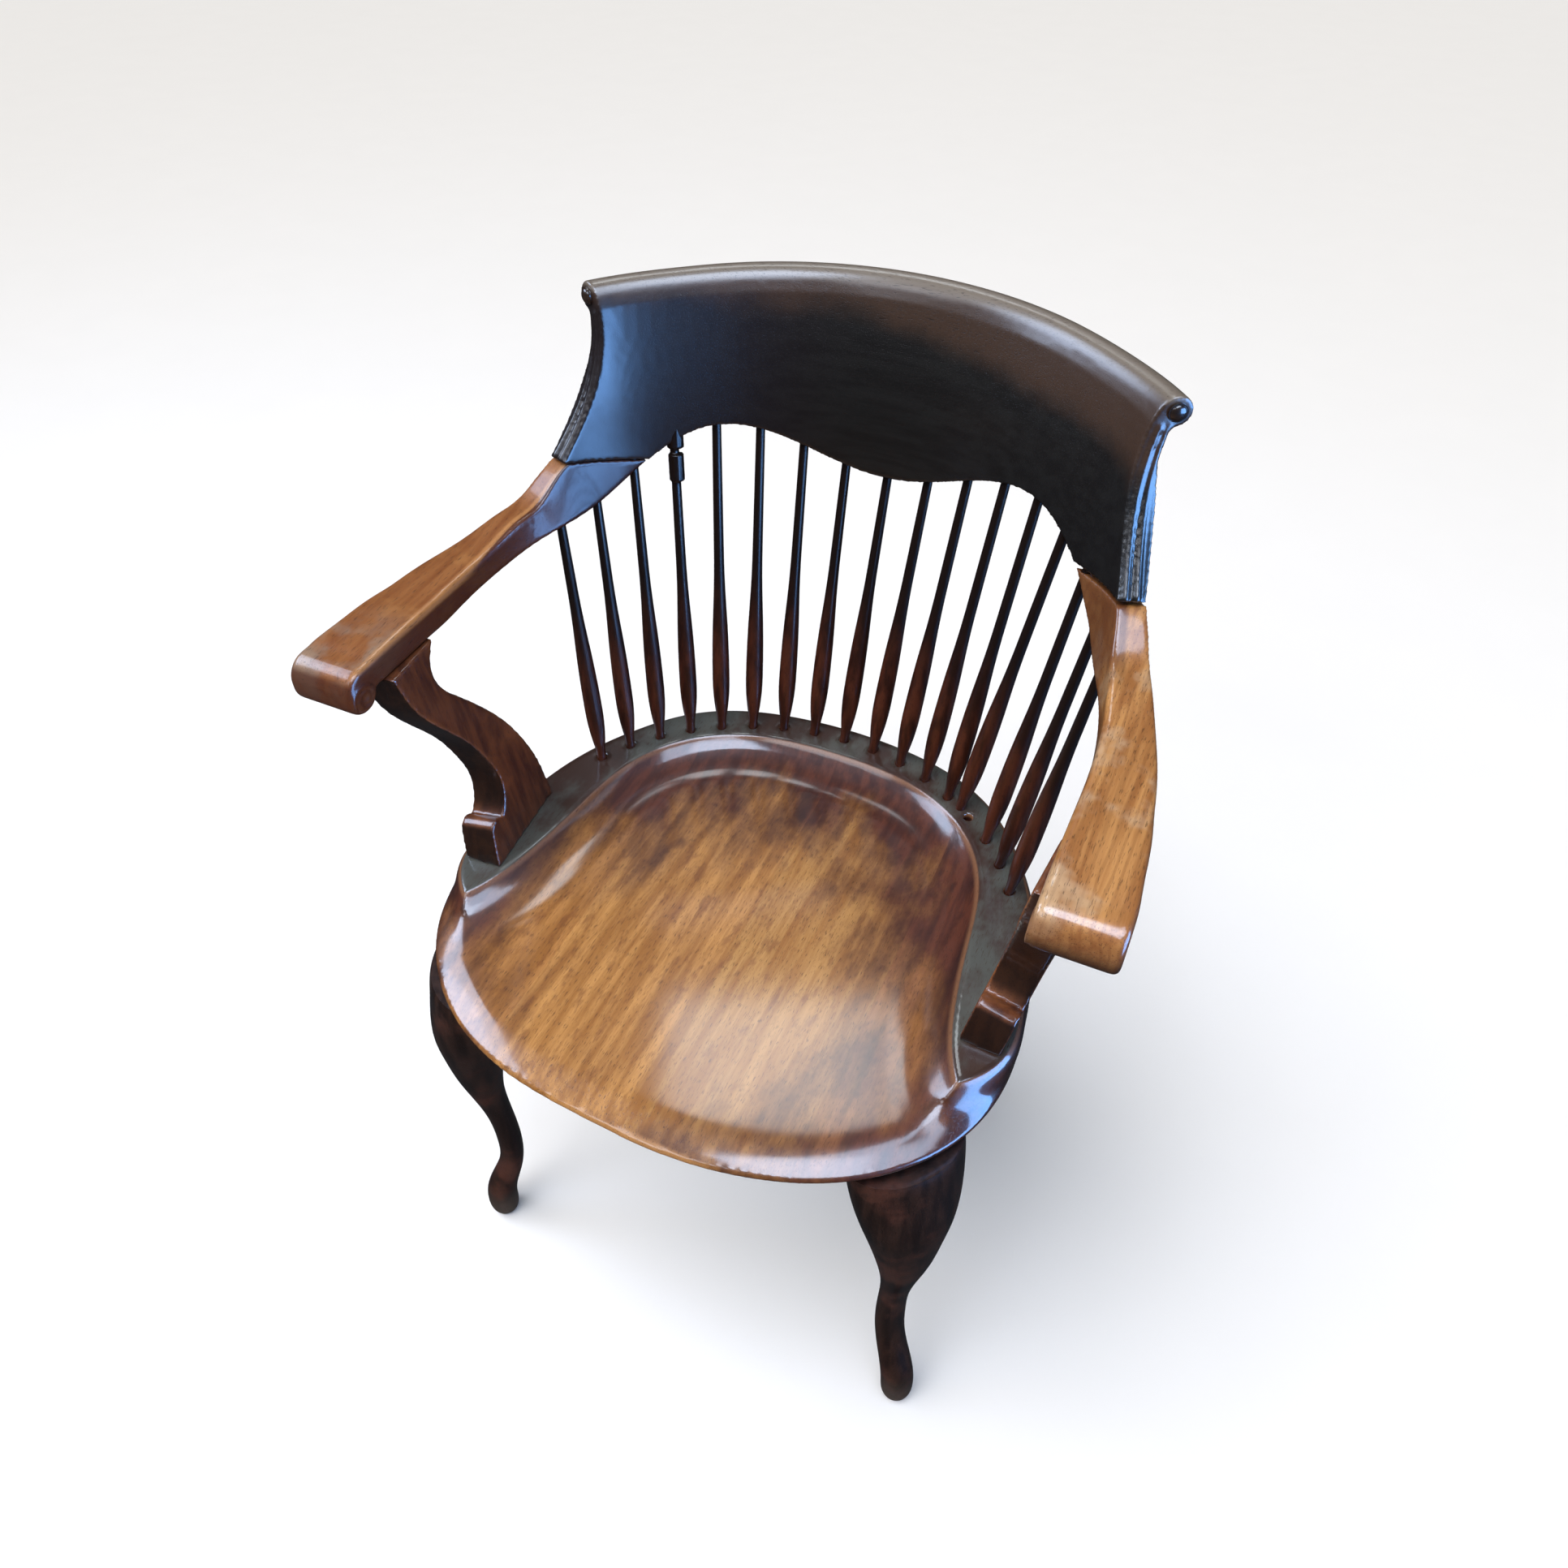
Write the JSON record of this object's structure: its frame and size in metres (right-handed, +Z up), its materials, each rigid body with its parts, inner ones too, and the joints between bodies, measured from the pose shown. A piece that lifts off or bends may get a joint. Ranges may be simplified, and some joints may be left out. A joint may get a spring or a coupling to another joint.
{
  "type": "captains chair",
  "caption": "Wooden captain's armchair: dished round seat, turned spindles, deep bent crest rail with rolled top, scrolled arms on S-shaped supports, cabriole legs.",
  "frame": {"origin": "on the floor, under the middle of the chair's overall box", "axes": "+Z up, the sitter faces -Y, +X to the viewer's right when looking at the chair from its front along +Y"},
  "size_m": [0.592, 0.5447, 0.8505],
  "materials": {
    "seat_wood": "worn varnish",
    "crest_wood": "dark polish",
    "arm_wood": "worn polish",
    "turned_wood": "dark polish",
    "leg_wood": "dark polish",
    "dowel_wood": "bare",
    "screw_steel": "dull"
  },
  "bodies": {
    "root": {"seat_board_left": "seat_wood", "seat_board_mid_left": "seat_wood", "seat_board_mid_right": "seat_wood", "seat_board_right": "seat_wood", "crest_rail": "crest_wood", "crest_button_left": "turned_wood", "crest_button_right": "turned_wood", "arm_left": "arm_wood", "arm_right": "arm_wood", "arm_support_left": "arm_wood", "arm_support_right": "arm_wood", "spindle_01": "turned_wood", "spindle_02": "turned_wood", "spindle_03": "turned_wood", "spindle_04": "turned_wood", "spindle_05": "turned_wood", "spindle_06": "turned_wood", "spindle_07": "turned_wood", "spindle_08": "turned_wood", "spindle_09": "turned_wood", "spindle_10": "turned_wood", "spindle_11": "turned_wood", "spindle_12": "turned_wood", "spindle_13": "turned_wood", "spindle_14": "turned_wood", "spindle_15": "turned_wood", "spindle_16": "turned_wood", "spindle_17": "turned_wood", "front_leg_left": "leg_wood", "front_leg_right": "leg_wood", "rear_leg_left": "leg_wood", "rear_leg_right": "leg_wood", "crest_dowels": "dowel_wood", "support_dowels": "dowel_wood", "support_screws": "screw_steel"}
  },
  "joints": []
}
